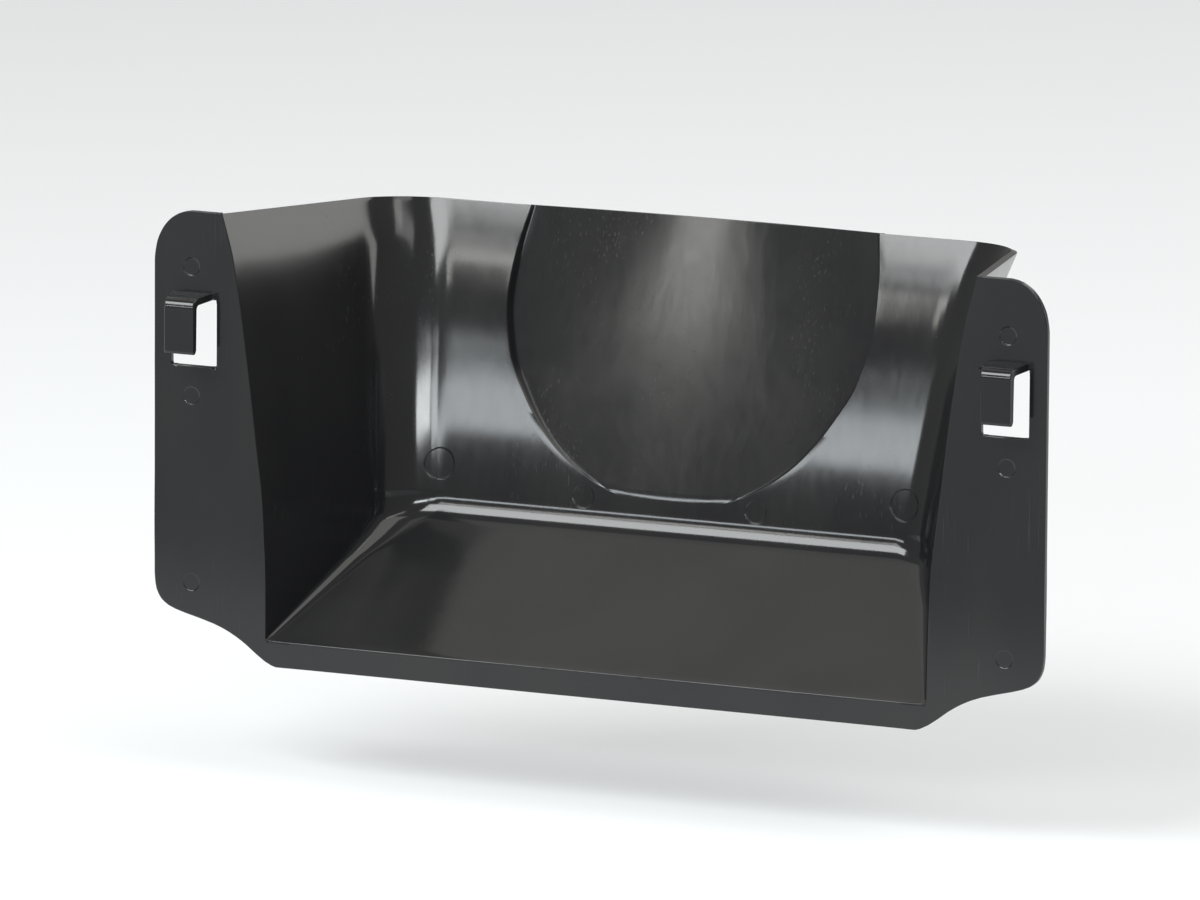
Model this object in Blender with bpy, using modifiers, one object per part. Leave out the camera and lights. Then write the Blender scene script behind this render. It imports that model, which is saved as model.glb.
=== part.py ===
# Hay and feed hopper for a wire rabbit cage: one thin-walled plastic moulding.
# It hangs on the outside of a wire wall. Two hooks reach in through the mesh and
# over a level wire, the flanges rest on the wires, and the open front faces inwards.
#
# Axes: X across, Y away from the cage, Z up. Metres in the scene, millimetres below.
# The wire side of the flanges is the plane Y = 0. Heights below are measured from the
# lip's lower edge. The finished part is lowered by ORIGIN_H, so that the world origin
# lies midway between the hooks, level with their undersides, where the wire passes.

import bpy
import bmesh
import numpy as np
from math import sin, cos, tan, radians, pi

MM = 0.001

# ---------------------------------------------------------------- dimensions
WALL = 2.2                       # wall thickness of the moulding
ORIGIN_H = 125.5                 # height of the world origin above the lip's lower edge

FLANGE_TOP = 156.0               # height of the flanges above the lip's lower edge
RIM_FALL = 0.055                 # the rim drops this much per unit of depth
LIP_H = 9.0                      # height of the front lip

# Half width of the front view's outline, from the lip's corner up to the top corner.
OUTLINE_Z = [0.0, 0.5, 3.2, 7.6, 11.0, 13.2, 15.2, 16.6, 18.2, 21.0, 25.0, 30.0,
             138.0, 144.0, 148.5, 152.0, 154.4, 155.6, 156.0]
OUTLINE_X = [119.0, 120.8, 125.4, 131.4, 137.4, 143.0, 150.5, 156.0, 160.2, 163.4, 165.0, 165.4,
             165.4, 164.6, 162.8, 160.2, 157.0, 154.0, 151.5]

# Half width of the front opening, from the lip up to the rim.
MOUTH_Z = [0.0, 25.0, 51.0, 82.0, 108.0, 139.0, 156.0]
MOUTH_X = [123.0, 123.2, 124.0, 127.4, 130.6, 135.2, 139.6]

# Depth of the back wall, from its foot up to the rim. It leans out more and more.
BACK_Z = [40.0, 52.0, 62.0, 74.0, 88.0, 102.0, 112.0, 121.0, 130.0, 140.0, 150.0, 156.0]
BACK_Y = [60.6, 62.2, 64.0, 66.4, 69.7, 73.3, 76.0, 78.8, 82.0, 86.0, 90.2, 92.8]

FLOOR_RISE = 0.62                # slope of the floor, rising towards the back
FLOOR_Y0 = 0.4                   # depth at which the floor leaves the lip
FLOOR_FILLET = 15.0              # radius between floor and back wall

SIDE_TAPER_TOP = 0.250           # side walls close in this much per unit of depth, at the rim
SIDE_TAPER_LOW = 0.390           # and at the floor
CORNER_R = 25.0                  # upright corners between side walls and back wall
FLOOR_EDGE_R = 2.5               # edges between side walls and floor, at the lip; they grow backwards

# Shallow scoop pressed back into the upper back wall, for filling from outside.
SCOOP_Z = [52.0, 55.5, 58.0, 61.0, 66.8, 74.0, 88.0, 102.0, 121.5, 136.0, 150.0, 160.0]
SCOOP_X = [1.0, 12.0, 20.0, 27.5, 37.5, 46.2, 57.0, 64.5, 68.2, 67.4, 65.0, 63.0]
SCOOP_FOOT = (55.0, 62.2)        # height and depth of the scoop's lowest point
SCOOP_HEAD = (150.0, 91.4)       # the same at its edge by the rim: it leans straight back
SCOOP_BOW = 4.0                  # how much further back its middle is at the rim
SCOOP_STEP = 1.4                 # width of the step round it

# Hooks and the slots behind them, on each flange.
HOOK_X = 151.1                   # distance of each hook's centre line from the middle
SLOT_X = 150.4                   # the same for the slot
SLOT_W, SLOT_Z0, SLOT_Z1 = 17.2, 102.5, 125.8
HOOK_W, HOOK_ROOT_W = 10.9, 15.4
HOOK_REACH = 10.5                # outer face of the tongue in front of the flange
HOOK_T = 2.5                     # thickness of the hook
HOOK_TOP, HOOK_TIP = 128.0, 108.0

# Ejector pin marks: shallow round recesses on the cage side.
PIN_DEPTH = 0.35
FLANGE_PIN_R = 3.3
FLANGE_PINS = [(151.2, 136.8), (151.2, 92.0), (151.2, 27.0)]
WALL_PIN_R = 5.6
WALL_PIN_OUT = (87.2, 63.0)
WALL_PIN_IN_R = 4.2
WALL_PIN_IN = (32.4, 56.2)

# ---------------------------------------------------------------- the inner surface

def lerp(z, zs, xs):
    return float(np.interp(z, zs, xs))


def smooth_lerp(z, zs, xs):
    """A monotone cubic through the table, so the walls have no creases."""
    zs = np.asarray(zs, float)
    xs = np.asarray(xs, float)
    z = min(max(z, zs[0]), zs[-1])
    h = np.diff(zs)
    d = np.diff(xs) / h
    m = np.zeros(len(zs))
    m[0], m[-1] = d[0], d[-1]
    for k in range(1, len(zs) - 1):
        if d[k - 1] * d[k] > 0:
            w1 = 2 * h[k] + h[k - 1]
            w2 = h[k] + 2 * h[k - 1]
            m[k] = (w1 + w2) / (w1 / d[k - 1] + w2 / d[k])
    k = int(min(np.searchsorted(zs, z, side="right") - 1, len(h) - 1))
    t = (z - zs[k]) / h[k]
    return float((2 * t**3 - 3 * t**2 + 1) * xs[k] + (t**3 - 2 * t**2 + t) * h[k] * m[k]
                 + (-2 * t**3 + 3 * t**2) * xs[k + 1] + (t**3 - t**2) * h[k] * m[k + 1])


def floor_depth(z):
    return FLOOR_Y0 + (z - LIP_H) / FLOOR_RISE


def fillet():
    """Where the floor's fillet starts and ends, and its centre, in (depth, height)."""
    z = LIP_H
    while floor_depth(z) < smooth_lerp(z, BACK_Z, BACK_Y):
        z += 0.02
    y = floor_depth(z)
    lean = (smooth_lerp(z + 12, BACK_Z, BACK_Y) - y) / 12.0
    a = np.array([-1.0, -FLOOR_RISE])
    a /= np.linalg.norm(a)
    b = np.array([lean, 1.0])
    b /= np.linalg.norm(b)
    half = np.arccos(np.clip(a @ b, -1, 1)) / 2
    run = FLOOR_FILLET / tan(half)
    corner = np.array([y, z])
    bis = (a + b) / np.linalg.norm(a + b)
    centre = corner + bis * FLOOR_FILLET / sin(half)
    return corner + a * run, corner + b * run, centre


FILLET_A, FILLET_B, FILLET_C = fillet()


def depth(z):
    """Depth of the floor or the back wall at a height."""
    if z <= LIP_H:
        return 0.0
    if z <= FILLET_A[1]:
        return floor_depth(z)
    if z < FILLET_B[1]:
        dz = z - FILLET_C[1]
        return float(FILLET_C[0] + np.sqrt(max(FILLET_FLOOR2 - dz * dz, 0.0)))
    return smooth_lerp(z, BACK_Z, BACK_Y)


FILLET_FLOOR2 = FLOOR_FILLET ** 2


def taper(z):
    t = min(max((z - 40.0) / 110.0, 0.0), 1.0)
    return SIDE_TAPER_LOW + (SIDE_TAPER_TOP - SIDE_TAPER_LOW) * t


def corner_radius(z):
    d = depth(z)
    low = FLOOR_EDGE_R + 0.2 * d
    r = low + (CORNER_R - low) * min(max((z - 34.0) / 20.0, 0.0), 1.0)
    return max(0.35 * min(d, 3.0), min(r, CORNER_R))


def scoop_depth(x, z):
    """How far the scoop lies behind the back wall."""
    if z < SCOOP_Z[0]:
        return 0.0
    half = smooth_lerp(z, SCOOP_Z, SCOOP_X)
    edge = min(max((half - abs(x)) / SCOOP_STEP + 0.5, 0.0), 1.0)
    if edge <= 0.0:
        return 0.0
    t = (z - SCOOP_FOOT[0]) / (SCOOP_HEAD[0] - SCOOP_FOOT[0])
    bow = SCOOP_BOW * max(t, 0.0) * max(1 - (x / half) ** 2, 0.0)
    y = SCOOP_FOOT[1] + t * (SCOOP_HEAD[1] - SCOOP_FOOT[1]) + bow
    return edge * max(y - depth(z), 0.0)


def section(z, n_flange, n_side, n_corner, n_wall, n_step, n_scoop):
    """Half of the level section at z, from the flange's outer edge to the middle: (x, y)."""
    xo = lerp(z, OUTLINE_Z, OUTLINE_X)
    xm = min(smooth_lerp(z, MOUTH_Z, MOUTH_X), xo - 1.5)
    d = depth(z)
    zt = z
    for _ in range(6):                 # the row's true height at the back wall
        zt = row_height(z, d)
        d = depth(zt)
    r = corner_radius(zt)
    ta = np.arctan(taper(zt))
    pts = [(xo + (xm - xo) * k / n_flange, 0.0) for k in range(n_flange)]
    xc = xm - d * tan(ta)
    run = r * tan((pi / 2 - ta) / 2) if d > 0 else 1.0
    run = min(run, 0.9 * d / cos(ta)) if d > 0 else run
    r = run / tan((pi / 2 - ta) / 2)
    sx, sy = xc + run * sin(ta), d - run * cos(ta) if d > 0 else 0.0
    if d <= 0:
        sx = xm - 1.5
    for k in range(n_side):
        t = k / n_side
        pts.append((xm + (sx - xm) * t, max(sy, 0.0) * t))
    if d > 0:
        cx, cy = xc - run, d - r
        for k in range(n_corner + 1):
            a = ta + (pi / 2 - ta) * k / n_corner
            pts.append((cx + r * cos(a), cy + r * sin(a)))
    else:
        for k in range(n_corner + 1):
            pts.append((sx - 1.2 * k, 0.0))
    x0 = pts[-1][0]
    half = max(smooth_lerp(zt, SCOOP_Z, SCOOP_X), 18.0)
    h1 = half + SCOOP_STEP / 2
    h2 = half - SCOOP_STEP / 2
    for k in range(1, n_wall):
        pts.append((x0 + (h1 - x0) * k / n_wall, d))
    for k in range(n_step + 1):
        pts.append((h1 + (h2 - h1) * k / n_step, d))
    for k in range(1, n_scoop + 1):
        pts.append((h2 * (1 - k / n_scoop), d))
    return [(x, y + (scoop_depth(x, zt) if y >= d - 1e-9 and d > 30 else 0.0)) for x, y in pts]


ROWS = [0.0, 0.5, 3.2, 7.0, 9.0, 10.6, 13.2, 16.0, 18.2, 21.0, 25.0, 30.0, 34.0, 38.0, 41.0,
        43.5, 46.0, 48.5, 51.0, 54.0, 57.5, 61.5, 66.5, 72.0, 78.0, 84.5, 91.0, 97.5, 104.0,
        110.5, 117.0, 123.0, 129.0, 134.0, 138.0, 142.0, 146.0, 149.5, 152.0, 154.4, 155.6, 156.0]


def row_height(z, y):
    """Rows near the top follow the sloping rim."""
    t = min(max((z - 96.0) / (FLANGE_TOP - 96.0), 0.0), 1.0)
    return z - RIM_FALL * y * t * t


def shell_mesh():
    bm = bmesh.new()
    grid = []
    for z in ROWS:
        row = []
        for x, y in section(z, 4, 5, 6, 3, 1, 6):
            row.append(bm.verts.new((x * MM, y * MM, row_height(z, y) * MM)))
        grid.append(row)
    for a, b in zip(grid[:-1], grid[1:]):
        for k in range(len(a) - 1):
            bm.faces.new((a[k], b[k], b[k + 1], a[k + 1]))
    bm.normal_update()
    # the faces look towards the cage
    if sum(f.normal.y * f.calc_area() for f in bm.faces) > 0:
        bmesh.ops.reverse_faces(bm, faces=bm.faces[:])
    mesh = bpy.data.meshes.new("hopper_shell")
    bm.to_mesh(mesh)
    bm.free()
    return mesh


# ---------------------------------------------------------------- scene helpers

def clear():
    for o in list(bpy.data.objects):
        bpy.data.objects.remove(o, do_unlink=True)
    for m in list(bpy.data.meshes):
        bpy.data.meshes.remove(m)
    for c in list(bpy.data.collections):
        bpy.data.collections.remove(c)


def collection(name):
    c = bpy.data.collections.new(name)
    bpy.context.scene.collection.children.link(c)
    return c


def plastic(name, colour, roughness):
    m = bpy.data.materials.new(name)
    m.use_nodes = True
    b = m.node_tree.nodes["Principled BSDF"]
    b.inputs["Base Color"].default_value = (*colour, 1.0)
    b.inputs["Roughness"].default_value = roughness
    b.inputs["Metallic"].default_value = 0.0
    m.diffuse_color = (*colour, 1.0)
    return m


def place(obj, coll):
    for c in list(obj.users_collection):
        c.objects.unlink(obj)
    coll.objects.link(obj)
    return obj


def cutter_settings(obj):
    obj.hide_render = True
    obj.display_type = "WIRE"
    return obj


def boolean(obj, other, operation):
    b = obj.modifiers.new(operation.title() + " " + other.name, "BOOLEAN")
    b.operation = operation
    b.solver = "EXACT"
    b.object = other
    return b


def prism(name, profile, half_width, coll):
    """A side profile in (y, z), extruded across X. half_width(y) is its half width at a depth."""
    bm = bmesh.new()
    left = [bm.verts.new((-half_width(y) * MM, y * MM, z * MM)) for y, z in profile]
    face = bm.faces.new(left)
    made = bmesh.ops.extrude_face_region(bm, geom=[face])
    for v in made["geom"]:
        if isinstance(v, bmesh.types.BMVert):
            v.co.x = -v.co.x
    bmesh.ops.recalc_face_normals(bm, faces=bm.faces[:])
    mesh = bpy.data.meshes.new(name)
    bm.to_mesh(mesh)
    bm.free()
    obj = bpy.data.objects.new(name, mesh)
    coll.objects.link(obj)
    return obj


def hook_profile():
    """The hook seen from the side: out over the wire, round, and down."""
    out, t = -HOOK_REACH, HOOK_T
    r_out, r_in = 3.6, 1.5
    pts = [(1.0, HOOK_TOP)]
    cy, cz = out + r_out, HOOK_TOP - 0.6 - r_out
    for k in range(7):
        a = pi / 2 + (pi / 2) * k / 6
        pts.append((cy + r_out * cos(a), cz + r_out * sin(a)))
    pts += [(out, HOOK_TIP + 1.2), (out + 0.6, HOOK_TIP), (out + t - 0.9, HOOK_TIP), (out + t - 0.2, HOOK_TIP + 1.4)]
    cy, cz = out + t + r_in, HOOK_TOP - 0.6 - t - r_in
    for k in range(5):
        a = pi - (pi / 2) * k / 4
        pts.append((cy + r_in * cos(a), cz + r_in * sin(a)))
    pts.append((1.0, HOOK_TOP - t))
    return pts


def hook_half_width(y):
    t = min(max((y + HOOK_REACH) / (HOOK_REACH + 1.0), 0.0), 1.0)
    return (HOOK_W + (HOOK_ROOT_W - HOOK_W) * t) / 2


# ---------------------------------------------------------------- the part

def build():
    clear()
    part = collection("Cage hopper feeder")
    cutters = collection("Cutters")

    # everything hangs from one empty, which puts the origin on the wire
    lip = bpy.data.objects.new("lip_level", None)
    lip.location = (0.0, 0.0, -ORIGIN_H * MM)
    lip.empty_display_size = 0.02
    part.objects.link(lip)

    shell = bpy.data.objects.new("hopper_shell", shell_mesh())
    shell.parent = lip
    part.objects.link(shell)
    shell.data.materials.append(plastic("black plastic", (0.022, 0.023, 0.026), 0.32))

    m = shell.modifiers.new("Other half", "MIRROR")
    m.use_axis = (True, False, False)
    m.use_clip = True
    m.merge_threshold = 1e-6

    s = shell.modifiers.new("Wall", "SOLIDIFY")
    s.thickness = WALL * MM
    s.offset = -1.0
    s.use_even_offset = True
    s.use_quality_normals = True

    for sign, side in ((-1, "left"), (1, "right")):
        # the slot in the flange that the hook is moulded through
        bpy.ops.mesh.primitive_cube_add(size=1.0, location=(sign * SLOT_X * MM, 1.0 * MM,
                                                            (SLOT_Z0 + SLOT_Z1) / 2 * MM))
        slot = place(bpy.context.object, cutters)
        slot.name = "slot_" + side
        slot.scale = (SLOT_W * MM, 12.0 * MM, (SLOT_Z1 - SLOT_Z0) * MM)
        bpy.ops.object.transform_apply(location=False, rotation=False, scale=True)
        cutter_settings(slot)
        slot.parent = lip
        boolean(shell, slot, "DIFFERENCE")

        # ejector pin marks on the flange and on the back wall
        pins = [(x, 0.0, z, FLANGE_PIN_R, 0.0, 24) for x, z in FLANGE_PINS]
        for (x, z), r in ((WALL_PIN_OUT, WALL_PIN_R), (WALL_PIN_IN, WALL_PIN_IN_R)):
            lean = (depth(z + 2) - depth(z - 2)) / 4.0
            pins.append((x, depth(z), z, r, lean, 24))
        for n, (x, y, z, r, lean, seg) in enumerate(pins):
            ang = np.arctan(lean)
            reach = 5.0
            # the axis follows the wall's normal, and the end sits PIN_DEPTH inside the wall
            ny, nz = -cos(ang), sin(ang)
            off = reach - PIN_DEPTH
            bpy.ops.mesh.primitive_cylinder_add(vertices=seg, radius=r * MM, depth=2 * reach * MM,
                                                location=(sign * x * MM, (y + ny * off) * MM,
                                                          (z + nz * off) * MM),
                                                rotation=(pi / 2 - ang, 0.0, 0.0))
            pin = place(bpy.context.object, cutters)
            pin.name = "pin_%s_%d" % (side, n)
            cutter_settings(pin)
            pin.parent = lip
            boolean(shell, pin, "DIFFERENCE")

        hook = prism("hook_" + side, hook_profile(), hook_half_width, cutters)
        hook.location.x = sign * HOOK_X * MM
        cutter_settings(hook)
        hook.parent = lip
        boolean(shell, hook, "UNION")

    for p in shell.data.polygons:
        p.use_smooth = True
    shell.data.set_sharp_from_angle(angle=radians(32))
    return shell


build()
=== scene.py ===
# Looks of the cage hopper feeder: a fine moulded shell in place of the CAD solid,
# procedural black plastic, soft studio light and the camera.

import bpy
import bmesh
import numpy as np
from math import sin, cos, tan, radians, pi
from mathutils import Vector, Matrix


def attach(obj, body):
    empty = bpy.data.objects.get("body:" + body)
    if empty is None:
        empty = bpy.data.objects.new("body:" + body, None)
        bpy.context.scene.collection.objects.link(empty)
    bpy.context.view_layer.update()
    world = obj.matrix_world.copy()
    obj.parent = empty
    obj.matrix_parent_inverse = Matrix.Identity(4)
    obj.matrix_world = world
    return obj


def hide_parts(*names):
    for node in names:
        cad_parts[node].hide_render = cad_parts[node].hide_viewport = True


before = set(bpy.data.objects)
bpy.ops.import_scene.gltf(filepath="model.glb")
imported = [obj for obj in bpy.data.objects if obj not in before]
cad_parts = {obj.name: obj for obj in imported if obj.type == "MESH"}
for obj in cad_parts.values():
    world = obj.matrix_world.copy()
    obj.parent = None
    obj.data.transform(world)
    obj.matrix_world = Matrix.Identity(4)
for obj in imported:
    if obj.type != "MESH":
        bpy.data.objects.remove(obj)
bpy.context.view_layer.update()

MM = 0.001

# ------------------------------------------------------------------ the part's dimensions, in mm
WALL = 2.2
ORIGIN_H = 125.5
FLANGE_TOP = 156.0
RIM_FALL = 0.055
LIP_H = 9.0

OUTLINE_Z = [0.0, 0.5, 3.2, 7.6, 11.0, 13.2, 15.2, 16.6, 18.2, 21.0, 25.0, 30.0,
             138.0, 144.0, 148.5, 152.0, 154.4, 155.6, 156.0]
OUTLINE_X = [119.0, 120.8, 125.4, 131.4, 137.4, 143.0, 150.5, 156.0, 160.2, 163.4, 165.0, 165.4,
             165.4, 164.6, 162.8, 160.2, 157.0, 154.0, 151.5]
MOUTH_Z = [0.0, 25.0, 51.0, 82.0, 108.0, 139.0, 156.0]
MOUTH_X = [123.0, 123.2, 124.0, 127.4, 130.6, 135.2, 139.6]
BACK_Z = [40.0, 52.0, 62.0, 74.0, 88.0, 102.0, 112.0, 121.0, 130.0, 140.0, 150.0, 156.0]
BACK_Y = [60.6, 62.2, 64.0, 66.4, 69.7, 73.3, 76.0, 78.8, 82.0, 86.0, 90.2, 92.8]
FLOOR_RISE = 0.62
FLOOR_Y0 = 0.4
FLOOR_FILLET = 12.0
SIDE_TAPER_TOP = 0.250
SIDE_TAPER_LOW = 0.390
CORNER_R = 25.0
FLOOR_EDGE_R = 2.5
SCOOP_Z = [52.0, 55.5, 58.0, 61.0, 66.8, 74.0, 88.0, 102.0, 121.5, 136.0, 150.0, 160.0]
SCOOP_X = [1.0, 12.0, 20.0, 27.5, 37.5, 46.2, 57.0, 64.5, 68.2, 67.4, 65.0, 63.0]
SCOOP_FOOT = (55.0, 62.2)
SCOOP_HEAD = (150.0, 91.4)
SCOOP_BOW = 4.0
SCOOP_STEP = 1.4
HOOK_X = 151.1
SLOT_X = 150.4
SLOT_W, SLOT_Z0, SLOT_Z1 = 17.2, 102.5, 125.8
HOOK_W, HOOK_ROOT_W = 10.9, 15.4
HOOK_REACH = 10.5
HOOK_T = 2.5
HOOK_TOP, HOOK_TIP = 128.0, 108.0

# ------------------------------------------------------------------ the moulded surface


def smooth_lerp(z, zs, xs):
    """A monotone cubic through the table, so the walls have no creases."""
    zs = np.asarray(zs, float)
    xs = np.asarray(xs, float)
    z = min(max(z, zs[0]), zs[-1])
    h = np.diff(zs)
    d = np.diff(xs) / h
    m = np.zeros(len(zs))
    m[0], m[-1] = d[0], d[-1]
    for k in range(1, len(zs) - 1):
        if d[k - 1] * d[k] > 0:
            w1 = 2 * h[k] + h[k - 1]
            w2 = h[k] + 2 * h[k - 1]
            m[k] = (w1 + w2) / (w1 / d[k - 1] + w2 / d[k])
    k = int(min(np.searchsorted(zs, z, side="right") - 1, len(h) - 1))
    t = (z - zs[k]) / h[k]
    return float((2 * t**3 - 3 * t**2 + 1) * xs[k] + (t**3 - 2 * t**2 + t) * h[k] * m[k]
                 + (-2 * t**3 + 3 * t**2) * xs[k + 1] + (t**3 - t**2) * h[k] * m[k + 1])


def floor_depth(z):
    return FLOOR_Y0 + (z - LIP_H) / FLOOR_RISE


def fillet():
    z = LIP_H
    while floor_depth(z) < smooth_lerp(z, BACK_Z, BACK_Y):
        z += 0.02
    y = floor_depth(z)
    lean = (smooth_lerp(z + 12, BACK_Z, BACK_Y) - y) / 12.0
    a = np.array([-1.0, -FLOOR_RISE])
    a /= np.linalg.norm(a)
    b = np.array([lean, 1.0])
    b /= np.linalg.norm(b)
    half = np.arccos(np.clip(a @ b, -1, 1)) / 2
    run = FLOOR_FILLET / tan(half)
    corner = np.array([y, z])
    bis = (a + b) / np.linalg.norm(a + b)
    return corner + a * run, corner + b * run, corner + bis * FLOOR_FILLET / sin(half), a, b


FILLET_A, FILLET_B, FILLET_C, ALONG_FLOOR, UP_WALL = fillet()
FAIRING = 16.0


def fillet_depth(z):
    """The hollow between floor and back wall, which turns tighter at the wall than at the floor."""
    p = (FILLET_A, FILLET_A - ALONG_FLOOR * 0.38 * FLOOR_FILLET, FILLET_B - UP_WALL * 0.16 * FLOOR_FILLET, FILLET_B)

    def at(t):
        return p[0] * (1 - t) ** 3 + p[1] * 3 * t * (1 - t) ** 2 + p[2] * 3 * t * t * (1 - t) + p[3] * t ** 3

    lo, hi = 0.0, 1.0
    for _ in range(40):
        t = (lo + hi) / 2
        lo, hi = (t, hi) if at(t)[1] < z else (lo, t)
    return float(at(lo)[0])


def faired(z):
    """Carries the fillet into the back wall with no step or kink, so no false line shows in the gloss."""
    z0, z1 = FILLET_B[1], FILLET_B[1] + FAIRING
    dz = z0 - FILLET_C[1]
    root = np.sqrt(FLOOR_FILLET ** 2 - dz * dz)
    y0, s0 = FILLET_C[0] + root, -dz / root
    y1 = smooth_lerp(z1, BACK_Z, BACK_Y)
    s1 = (smooth_lerp(z1 + 0.05, BACK_Z, BACK_Y) - smooth_lerp(z1 - 0.05, BACK_Z, BACK_Y)) / 0.1
    t = (z - z0) / FAIRING
    return float((2 * t**3 - 3 * t**2 + 1) * y0 + (t**3 - 2 * t**2 + t) * FAIRING * s0
                 + (-2 * t**3 + 3 * t**2) * y1 + (t**3 - t**2) * FAIRING * s1)


def depth(z):
    if z <= LIP_H:
        return 0.0
    if z <= FILLET_A[1]:
        return floor_depth(z)
    if z < FILLET_B[1]:
        return fillet_depth(z)
    if z < FILLET_B[1] + FAIRING:
        return faired(z)
    return smooth_lerp(z, BACK_Z, BACK_Y)


def taper(z):
    t = min(max((z - 40.0) / 110.0, 0.0), 1.0)
    return SIDE_TAPER_LOW + (SIDE_TAPER_TOP - SIDE_TAPER_LOW) * t


def corner_radius(z):
    d = depth(z)
    low = FLOOR_EDGE_R + 0.2 * d
    r = low + (CORNER_R - low) * min(max((z - 34.0) / 20.0, 0.0), 1.0)
    return max(0.35 * min(d, 3.0), min(r, CORNER_R))


def scoop_depth(x, z):
    if z < SCOOP_Z[0]:
        return 0.0
    half = smooth_lerp(z, SCOOP_Z, SCOOP_X)
    edge = min(max((half - abs(x)) / SCOOP_STEP + 0.5, 0.0), 1.0)
    edge = edge * edge * (3 - 2 * edge)
    if edge <= 0.0:
        return 0.0
    t = (z - SCOOP_FOOT[0]) / (SCOOP_HEAD[0] - SCOOP_FOOT[0])
    bow = SCOOP_BOW * max(t, 0.0) * max(1 - (x / half) ** 2, 0.0)
    y = SCOOP_FOOT[1] + t * (SCOOP_HEAD[1] - SCOOP_FOOT[1]) + bow
    return edge * max(y - depth(z), 0.0)


def row_height(z, y):
    t = min(max((z - 96.0) / (FLANGE_TOP - 96.0), 0.0), 1.0)
    return z - RIM_FALL * y * t * t


N_EDGE, N_SLOT, N_WEB = 5, 8, 4          # flange columns: outside, across and inside the slot
N_SIDE, N_CORNER, N_WALL, N_STEP, N_SCOOP = 22, 16, 12, 6, 24


def section(z):
    """Half of the level section at z, from the flange's outer edge to the middle: (x, y)."""
    xo = smooth_lerp(z, OUTLINE_Z, OUTLINE_X)
    xm = min(smooth_lerp(z, MOUTH_Z, MOUTH_X), xo - 1.5)
    d = depth(z)
    zt = z
    for _ in range(6):
        zt = row_height(z, d)
        d = depth(zt)
    r = corner_radius(zt)
    ta = np.arctan(taper(zt))

    # the slot's two sides are columns of the grid near the slot, and drift apart from them elsewhere
    w = min(max(1 - max(86.0 - z, 0.0) / 40.0, 0.0), 1.0) * min(max(1 - max(z - 134.0, 0.0) / 8.0, 0.0), 1.0)
    w = w * w * (3 - 2 * w)
    s1 = w * (SLOT_X + SLOT_W / 2) + (1 - w) * (xm + 0.80 * (xo - xm))
    s0 = w * (SLOT_X - SLOT_W / 2) + (1 - w) * (xm + 0.28 * (xo - xm))
    pts = [(xo + (s1 - xo) * k / N_EDGE, 0.0) for k in range(N_EDGE)]
    pts += [(s1 + (s0 - s1) * k / N_SLOT, 0.0) for k in range(N_SLOT)]
    pts += [(s0 + (xm - s0) * k / N_WEB, 0.0) for k in range(N_WEB)]

    xc = xm - d * tan(ta)
    run = r * tan((pi / 2 - ta) / 2) if d > 0 else 1.0
    run = min(run, 0.9 * d / cos(ta)) if d > 0 else run
    r = run / tan((pi / 2 - ta) / 2)
    sx, sy = xc + run * sin(ta), d - run * cos(ta) if d > 0 else 0.0
    if d <= 0:
        sx = xm - 1.5
    for k in range(N_SIDE):
        t = k / N_SIDE
        pts.append((xm + (sx - xm) * t, max(sy, 0.0) * t))
    if d > 0:
        cx, cy = xc - run, d - r
        for k in range(N_CORNER + 1):
            a = ta + (pi / 2 - ta) * k / N_CORNER
            pts.append((cx + r * cos(a), cy + r * sin(a)))
    else:
        for k in range(N_CORNER + 1):
            pts.append((sx - 0.5 * k, 0.0))
    x0 = pts[-1][0]
    half = max(smooth_lerp(zt, SCOOP_Z, SCOOP_X), 18.0)
    h1 = half + SCOOP_STEP / 2
    h2 = half - SCOOP_STEP / 2
    for k in range(1, N_WALL):
        pts.append((x0 + (h1 - x0) * k / N_WALL, d))
    for k in range(N_STEP + 1):
        pts.append((h1 + (h2 - h1) * k / N_STEP, d))
    for k in range(1, N_SCOOP + 1):
        pts.append((h2 * (1 - k / N_SCOOP), d))
    return [(x, y + (scoop_depth(x, zt) if y >= d - 1e-9 and d > 30 else 0.0)) for x, y in pts]


def row_list():
    """Heights of the rows, no more than 1.4 mm apart (0.45 in the floor's fillet), with the places that matter
    kept exactly."""
    keep = [0.0, 0.5, 1.8, 3.2, 5.2, 7.0, LIP_H, 9.6, 10.6, 12.0, 13.2, 14.4, 16.0, 18.2, 21.0, 25.0, 30.0,
            34.0, 38.0, 41.0, 43.5, 46.0, 48.5, 51.0, 54.0, 57.5, 61.5, 66.5, 72.0, 78.0, 84.5, 91.0,
            97.5, SLOT_Z0, 104.0, 110.5, 117.0, 121.0, SLOT_Z1, 129.0, 134.0, 138.0, 142.0, 146.0,
            149.5, 152.0, 153.4, 154.4, 155.0, 155.6, FLANGE_TOP]
    rows = [keep[0]]
    for a, b in zip(keep[:-1], keep[1:]):
        n = max(1, int(np.ceil((b - a) / (0.45 if 41.0 <= a < 57.0 else 1.4))))
        rows += [a + (b - a) * k / n for k in range(1, n + 1)]
    return rows


def baked(obj):
    """The object's evaluated mesh, with no modifiers left."""
    dg = bpy.context.evaluated_depsgraph_get()
    mesh = bpy.data.meshes.new_from_object(obj.evaluated_get(dg))
    bpy.data.objects.remove(obj, do_unlink=True)
    return mesh


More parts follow.
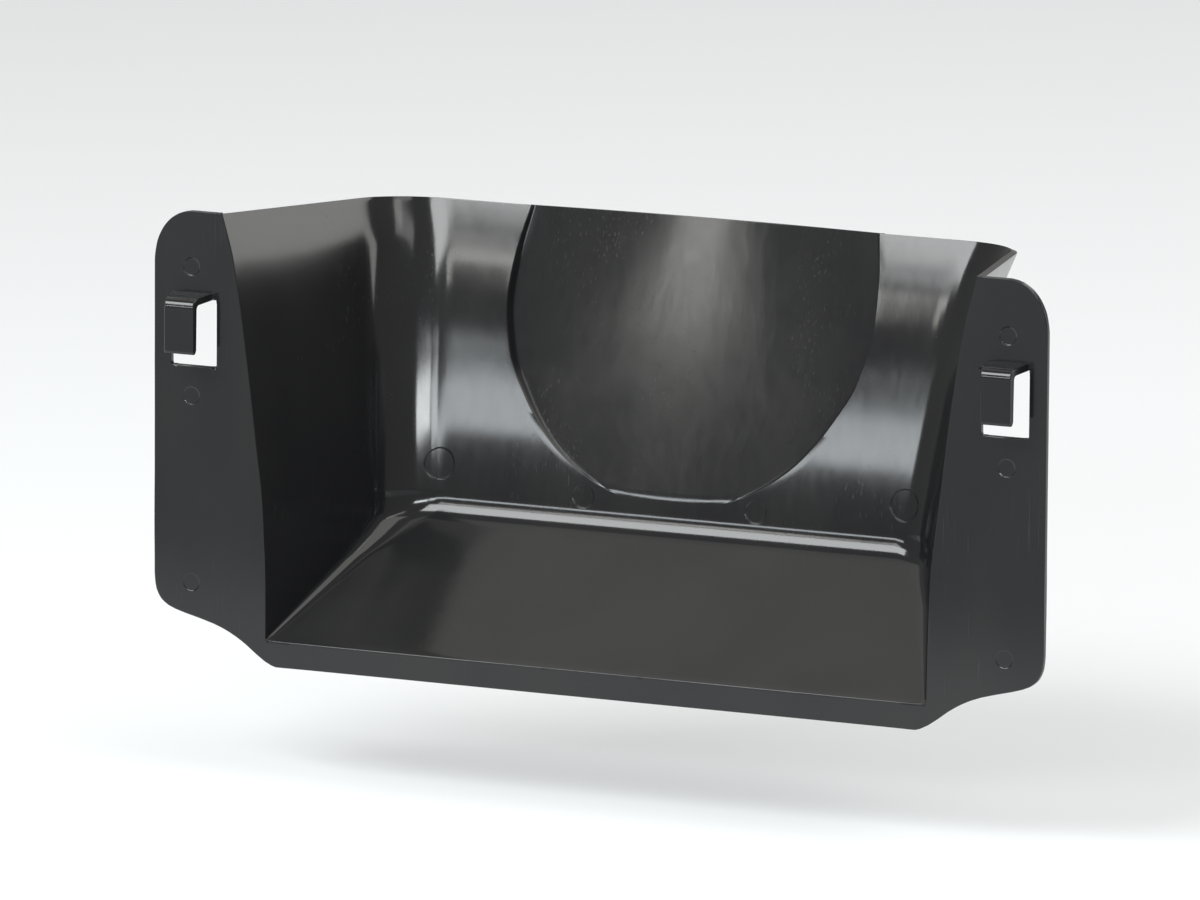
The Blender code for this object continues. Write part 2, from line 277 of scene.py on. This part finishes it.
def shell():
    rows = row_list()
    bm = bmesh.new()
    grid = []
    for z in rows:
        grid.append([bm.verts.new((x * MM, y * MM, (row_height(z, y) - ORIGIN_H) * MM)) for x, y in section(z)])
    for i in range(len(rows) - 1):
        mid = (rows[i] + rows[i + 1]) / 2
        for k in range(len(grid[0]) - 1):
            if SLOT_Z0 < mid < SLOT_Z1 and N_EDGE <= k < N_EDGE + N_SLOT:
                continue
            a, b = grid[i], grid[i + 1]
            bm.faces.new((a[k], b[k], b[k + 1], a[k + 1]))
    # vertices inside the slot belong to no face
    bmesh.ops.delete(bm, geom=[v for v in bm.verts if not v.link_faces], context="VERTS")
    bm.normal_update()
    if sum(f.normal.y * f.calc_area() for f in bm.faces) > 0:
        bmesh.ops.reverse_faces(bm, faces=bm.faces[:])
    mesh = bpy.data.meshes.new("feeder_shell")
    bm.to_mesh(mesh)
    bm.free()
    obj = bpy.data.objects.new("feeder_shell", mesh)
    bpy.context.scene.collection.objects.link(obj)

    m = obj.modifiers.new("Other half", "MIRROR")
    m.use_axis = (True, False, False)
    m.use_clip = True
    m.merge_threshold = 1e-6
    s = obj.modifiers.new("Wall", "SOLIDIFY")
    s.thickness = WALL * MM
    s.offset = -1.0
    s.use_even_offset = True
    s.use_quality_normals = True
    return rounded(baked(obj), "feeder_shell", 0.5 * MM)


def rounded(mesh, name, width):
    """Rounds the mesh's outside edges, each by no more than the mesh has room for beside it."""
    bm = bmesh.new()
    bm.from_mesh(mesh)
    weight = bm.edges.layers.float.get("bevel_weight_edge") or bm.edges.layers.float.new("bevel_weight_edge")
    sharp = {e for e in bm.edges
             if len(e.link_faces) == 2 and e.calc_face_angle_signed(0.0) > radians(38)}
    for e in bm.edges:
        e[weight] = 0.0
    inner = {v for e in bm.edges if len(e.link_faces) == 2 and e.calc_face_angle_signed(0.0) < -radians(25)
             for v in e.verts}
    room = {}
    for v in {v for e in sharp for v in e.verts}:
        room[v] = min(e.calc_length() * (0.8 if e in sharp else 1.0) for e in v.link_edges)
    for e in sharp:
        if not any(v in inner for v in e.verts):
            e[weight] = min(1.0, 0.36 * min(room[v] for v in e.verts) / width)
    bm.to_mesh(mesh)
    bm.free()
    obj = bpy.data.objects.new(name, mesh)
    bpy.context.scene.collection.objects.link(obj)
    b = obj.modifiers.new("Rounded edges", "BEVEL")
    b.limit_method = "WEIGHT"
    b.width = width
    b.segments = 3
    b.use_clamp_overlap = False
    return obj


def hook_half_width(y):
    t = min(max((y + HOOK_REACH) / (HOOK_REACH + 1.0), 0.0), 1.0)
    return (HOOK_W + (HOOK_ROOT_W - HOOK_W) * t) / 2


def hook(side):
    out, t = -HOOK_REACH, HOOK_T
    r_out, r_in = 3.6, 1.5
    pts = [(1.0, HOOK_TOP)]
    cy, cz = out + r_out, HOOK_TOP - 0.6 - r_out
    for k in range(13):
        a = pi / 2 + (pi / 2) * k / 12
        pts.append((cy + r_out * cos(a), cz + r_out * sin(a)))
    pts += [(out, HOOK_TIP + 1.2), (out + 0.6, HOOK_TIP), (out + t - 0.9, HOOK_TIP), (out + t - 0.2, HOOK_TIP + 1.4)]
    cy, cz = out + t + r_in, HOOK_TOP - 0.6 - t - r_in
    for k in range(9):
        a = pi - (pi / 2) * k / 8
        pts.append((cy + r_in * cos(a), cz + r_in * sin(a)))
    pts.append((1.0, HOOK_TOP - t))
    bm = bmesh.new()
    left = [bm.verts.new(((side * HOOK_X - hook_half_width(y)) * MM, y * MM, (z - ORIGIN_H) * MM)) for y, z in pts]
    right = [bm.verts.new(((side * HOOK_X + hook_half_width(y)) * MM, y * MM, (z - ORIGIN_H) * MM)) for y, z in pts]
    bm.faces.new(left)
    bm.faces.new(right)
    n = len(pts)
    for k in range(n):
        bm.faces.new((left[k], left[(k + 1) % n], right[(k + 1) % n], right[k]))
    bmesh.ops.recalc_face_normals(bm, faces=bm.faces[:])
    mesh = bpy.data.meshes.new("hook")
    bm.to_mesh(mesh)
    bm.free()
    obj = bpy.data.objects.new("hook", mesh)
    bpy.context.scene.collection.objects.link(obj)
    b = obj.modifiers.new("Rounded edges", "BEVEL")
    b.limit_method = "ANGLE"
    b.angle_limit = radians(35)
    b.width = 0.45 * MM
    b.segments = 3
    return obj


def joined(meshes, name):
    bm = bmesh.new()
    for m in meshes:
        bm.from_mesh(m)
    mesh = bpy.data.meshes.new(name)
    bm.to_mesh(mesh)
    bm.free()
    obj = bpy.data.objects.new(name, mesh)
    bpy.context.scene.collection.objects.link(obj)
    for p in mesh.polygons:
        p.use_smooth = True
    mesh.set_sharp_from_angle(angle=radians(40))
    w = obj.modifiers.new("Flat faces stay flat", "WEIGHTED_NORMAL")
    w.keep_sharp = True
    w.weight = 60
    return obj


# ------------------------------------------------------------------ black moulded plastic

class Nodes:
    """A short way to write a node tree."""

    def __init__(self, tree):
        self.t = tree
        self.x = -1800

    def add(self, kind, **values):
        n = self.t.nodes.new(kind)
        n.location = (self.x, 0)
        self.x += 40
        for k, v in values.items():
            setattr(n, k, v)
        return n

    def link(self, a, b):
        self.t.links.new(a, b)

    def put(self, socket, value):
        if isinstance(value, bpy.types.NodeSocket):
            self.link(value, socket)
        else:
            socket.default_value = value

    def math(self, op, a, b=None, c=None, clamp=False):
        n = self.add("ShaderNodeMath", operation=op, use_clamp=clamp)
        for s, v in zip(n.inputs, (a, b, c)):
            if v is not None:
                self.put(s, v)
        return n.outputs[0]

    def noise(self, where, scale, detail=2.0, rough=0.5):
        n = self.add("ShaderNodeTexNoise")
        self.link(where, n.inputs["Vector"])
        n.inputs["Scale"].default_value = scale
        n.inputs["Detail"].default_value = detail
        n.inputs["Roughness"].default_value = rough
        return n.outputs[0]

    def stretched(self, where, scale, turn=(0, 0, 0)):
        n = self.add("ShaderNodeMapping")
        self.link(where, n.inputs["Vector"])
        n.inputs["Scale"].default_value = scale
        n.inputs["Rotation"].default_value = turn
        return n.outputs[0]

    def ramp(self, value, lo, hi):
        """0 below lo, 1 above hi, smooth between."""
        n = self.add("ShaderNodeMapRange", interpolation_type="SMOOTHSTEP")
        self.put(n.inputs["Value"], value)
        n.inputs["From Min"].default_value = lo
        n.inputs["From Max"].default_value = hi
        return n.outputs[0]


# round ejector pin marks: |x|, z, radius in mm, on the flanges and on the back wall
PINS = [(151.2, 136.8, 3.3, 1.0), (151.2, 92.0, 3.3, 0.55), (151.2, 27.0, 3.3, 0.35),
        (87.2, 63.0, 5.6, 1.0), (32.4, 56.2, 4.2, 0.8)]


def plastic():
    m = bpy.data.materials.new("black_moulded_plastic")
    m.use_nodes = True
    t = m.node_tree
    b = t.nodes["Principled BSDF"]
    n = Nodes(t)
    at = n.add("ShaderNodeTexCoord").outputs["Object"]
    xyz = n.add("ShaderNodeSeparateXYZ")
    n.link(at, xyz.inputs[0])
    x, y, z = xyz.outputs
    normal = n.add("ShaderNodeSeparateXYZ")
    n.link(n.add("ShaderNodeNewGeometry").outputs["True Normal"], normal.inputs[0])
    inside = n.ramp(n.math("MULTIPLY", normal.outputs[1], -1.0), 0.25, 0.45)   # faces the cage

    streak = n.noise(n.stretched(at, (420.0, 420.0, 9.0)), 1.0, 3.0, 0.6)      # upright flow lines
    broad = n.noise(n.stretched(at, (30.0, 30.0, 12.0)), 1.0, 2.0, 0.5)        # cloudy sheen
    grain = n.noise(at, 2600.0, 2.0, 0.6)                                      # spark-eroded skin
    ripple = n.noise(n.stretched(at, (60.0, 60.0, 22.0)), 1.0, 2.0, 0.45)      # sink and warp
    rubs = n.noise(n.stretched(at, (1500.0, 1500.0, 40.0), (0.5, 0.2, 0.7)), 1.0, 1.0, 0.5)
    rub_place = n.noise(at, 26.0, 2.0, 0.5)
    scuff = n.math("MULTIPLY", n.ramp(rubs, 0.66, 0.74), n.ramp(rub_place, 0.50, 0.66))
    dust = n.ramp(n.noise(at, 900.0, 1.0, 0.5), 0.815, 0.85)

    # colour
    tone = n.add("ShaderNodeMix", data_type="RGBA")
    n.link(n.ramp(broad, 0.3, 0.7), tone.inputs["Factor"])
    tone.inputs["A"].default_value = (0.0104, 0.0105, 0.0120, 1)
    tone.inputs["B"].default_value = (0.0138, 0.0139, 0.0140, 1)
    worn = n.add("ShaderNodeMix", data_type="RGBA")
    n.link(n.math("MULTIPLY", scuff, 0.15), worn.inputs["Factor"])
    n.link(tone.outputs["Result"], worn.inputs["A"])
    worn.inputs["B"].default_value = (0.075, 0.076, 0.078, 1)
    dusty = n.add("ShaderNodeMix", data_type="RGBA")
    n.link(n.math("MULTIPLY", dust, 0.15), dusty.inputs["Factor"])
    n.link(worn.outputs["Result"], dusty.inputs["A"])
    dusty.inputs["B"].default_value = (0.20, 0.20, 0.19, 1)
    n.link(dusty.outputs["Result"], b.inputs["Base Color"])

    # gloss: streaks and clouds, duller on the outside of the mould and where it is rubbed
    r = n.math("MULTIPLY_ADD", streak, 0.07, 0.055)
    r = n.math("MULTIPLY_ADD", broad, 0.04, r)
    r = n.math("MULTIPLY_ADD", scuff, 0.05, r)
    r = n.math("MULTIPLY_ADD", dust, 0.03, r)
    r = n.math("ADD", r, n.math("MULTIPLY", n.math("SUBTRACT", 1.0, inside), 0.09), clamp=True)
    n.link(r, b.inputs["Roughness"])
    b.inputs["IOR"].default_value = 1.5

    # height, in metres
    h = n.math("MULTIPLY", grain, 0.0000030)
    h = n.math("MULTIPLY_ADD", streak, 0.0000060, h)
    h = n.math("MULTIPLY_ADD", ripple, 0.0000550, h)
    h = n.math("MULTIPLY_ADD", scuff, -0.0000030, h)
    ax = n.math("ABSOLUTE", x)
    for px, pz, pr, strong in PINS:
        dx = n.math("SUBTRACT", ax, px * MM)
        dz = n.math("SUBTRACT", z, (pz - ORIGIN_H) * MM)
        away = n.math("SQRT", n.math("ADD", n.math("MULTIPLY", dx, dx), n.math("MULTIPLY", dz, dz)))
        dip = n.math("SUBTRACT", 1.0, n.ramp(away, (pr - 0.55) * MM, pr * MM))
        dip = n.math("MULTIPLY", dip, inside)
        h = n.math("MULTIPLY_ADD", dip, -0.00030 * strong, h)
    bump = n.add("ShaderNodeBump")
    bump.inputs["Strength"].default_value = 1.0
    bump.inputs["Distance"].default_value = 1.0
    n.link(h, bump.inputs["Height"])
    n.link(bump.outputs[0], b.inputs["Normal"])
    return m


black = plastic()
feeder = joined([baked(shell()), baked(hook(-1)), baked(hook(1))], "hopper_feeder")
feeder.data.materials.clear()
feeder.data.materials.append(black)
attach(feeder, "root")
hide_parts("hopper_shell")

# ------------------------------------------------------------------ stage, light and camera

def stage_floor():
    bm = bmesh.new()
    bmesh.ops.create_circle(bm, cap_ends=True, segments=96, radius=14.0)
    mesh = bpy.data.meshes.new("floor")
    bm.to_mesh(mesh)
    bm.free()
    o = bpy.data.objects.new("floor", mesh)
    o.location.z = -(ORIGIN_H + 40.0) * MM
    bpy.context.scene.collection.objects.link(o)
    m = bpy.data.materials.new("pale_floor")
    m.use_nodes = True
    b = m.node_tree.nodes["Principled BSDF"]
    n = Nodes(m.node_tree)
    xyz = n.add("ShaderNodeSeparateXYZ")
    n.link(n.add("ShaderNodeNewGeometry").outputs["Position"], xyz.inputs[0])
    painted_light_falloff = n.ramp(xyz.outputs[1], -0.42, -0.22)        # painted shade and painted light: the floor's colour and glow fall off towards the camera
    tone = n.add("ShaderNodeMix", data_type="RGBA")
    n.link(painted_light_falloff, tone.inputs["Factor"])
    tone.inputs["A"].default_value = (0.28, 0.285, 0.29, 1)
    tone.inputs["B"].default_value = (0.62, 0.63, 0.64, 1)
    n.link(tone.outputs["Result"], b.inputs["Base Color"])
    b.inputs["Roughness"].default_value = 0.9
    b.inputs["Specular IOR Level"].default_value = 0.0
    # painted light: the floor glows, more strongly away from the camera
    b.inputs["Emission Color"].default_value = (0.97, 0.985, 1.0, 1)
    n.link(n.math("MULTIPLY_ADD", painted_light_falloff, 0.18, 0.15), b.inputs["Emission Strength"])
    mesh.materials.append(m)


def softbox(name, azimuth, elevation, distance, width, height, radiance, colour=(1, 1, 1)):
    """A rectangular light facing the feeder. Azimuth 0 is straight in front, positive to +X."""
    a, e = radians(azimuth), radians(elevation)
    away = Vector((sin(a) * cos(e), -cos(a) * cos(e), sin(e)))
    light = bpy.data.lights.new(name, "AREA")
    light.shape = "RECTANGLE"
    light.size = width
    light.size_y = height
    light.energy = radiance * width * height * pi
    light.color = colour
    o = bpy.data.objects.new(name, light)
    o.location = Vector((0, 0.04, -0.05)) + away * distance
    o.rotation_euler = away.to_track_quat("Z", "Y").to_euler()
    o.visible_camera = False
    bpy.context.scene.collection.objects.link(o)


stage_floor()
softbox("front_strip", -24.5, 14.3, 2.4, 1.15, 0.20, 9.3, (0.90, 0.965, 1.0))
softbox("front_strip_joint", -6, 16.9, 2.4, 0.42, 0.28, 12.0, (0.92, 0.975, 1.0))
softbox("corner_strip", 12, 18.9, 2.4, 0.90, 0.21, 19.0, (0.94, 0.985, 1.0))
softbox("right_panel", 52, 44.0, 2.6, 1.2, 0.34, 2.4, (0.98, 1.0, 0.98))
softbox("key_panel", -27, 43.0, 2.6, 1.6, 0.90, 10.0, (0.97, 1.0, 1.0))
softbox("scoop_patch", -26.6, 27.5, 2.4, 0.14, 0.10, 7.0, (1.0, 1.0, 0.95))
softbox("wall_patch", -29.5, 30.2, 2.4, 0.36, 0.11, 7.5, (1.0, 1.0, 0.97))
softbox("overhead_left", -120, 63.0, 2.3, 1.5, 1.5, 0.5, (1.0, 0.99, 0.92))
softbox("overhead_right", 85, 64.0, 2.3, 1.7, 1.5, 1.8, (1.0, 0.99, 0.94))
softbox("right_rear", 122, 15.0, 2.5, 1.8, 0.9, 3.0, (1.0, 1.0, 0.97))
softbox("behind", 165, 35.0, 2.8, 1.8, 1.0, 1.3, (0.96, 0.98, 1.0))

world = bpy.data.worlds.new("studio")
world.use_nodes = True
bpy.context.scene.world = world
back = world.node_tree.nodes["Background"]
back.inputs["Color"].default_value = (1.0, 0.985, 0.95, 1)
back.inputs["Strength"].default_value = 0.30

# the photograph's viewpoint, turned to put the feeder in the middle
eye = Vector((1.88402, -4.14885, 0.93624 - ORIGIN_H * MM))
right = Vector((0.884131, 0.467217, -0.004594))
ahead = Vector((-0.460283, 0.869235, -0.180471))
up = Vector((-0.080325, 0.161675, 0.983570))
ahead = (ahead + right * 0.06025 - up * 0.00314).normalized()
right = (right - ahead * right.dot(ahead)).normalized()
up = right.cross(ahead)
cam = bpy.data.cameras.new("camera")
cam.sensor_width = 36.0
cam.lens = 411.7
cam.clip_start = 0.1
cam.clip_end = 60.0
cam.dof.use_dof = False
cam_obj = bpy.data.objects.new("camera", cam)
cam_obj.matrix_world = Matrix((
    (right.x, up.x, -ahead.x, eye.x),
    (right.y, up.y, -ahead.y, eye.y),
    (right.z, up.z, -ahead.z, eye.z),
    (0, 0, 0, 1)))
bpy.context.scene.collection.objects.link(cam_obj)
bpy.context.scene.camera = cam_obj

bpy.context.scene.view_settings.view_transform = "Standard"
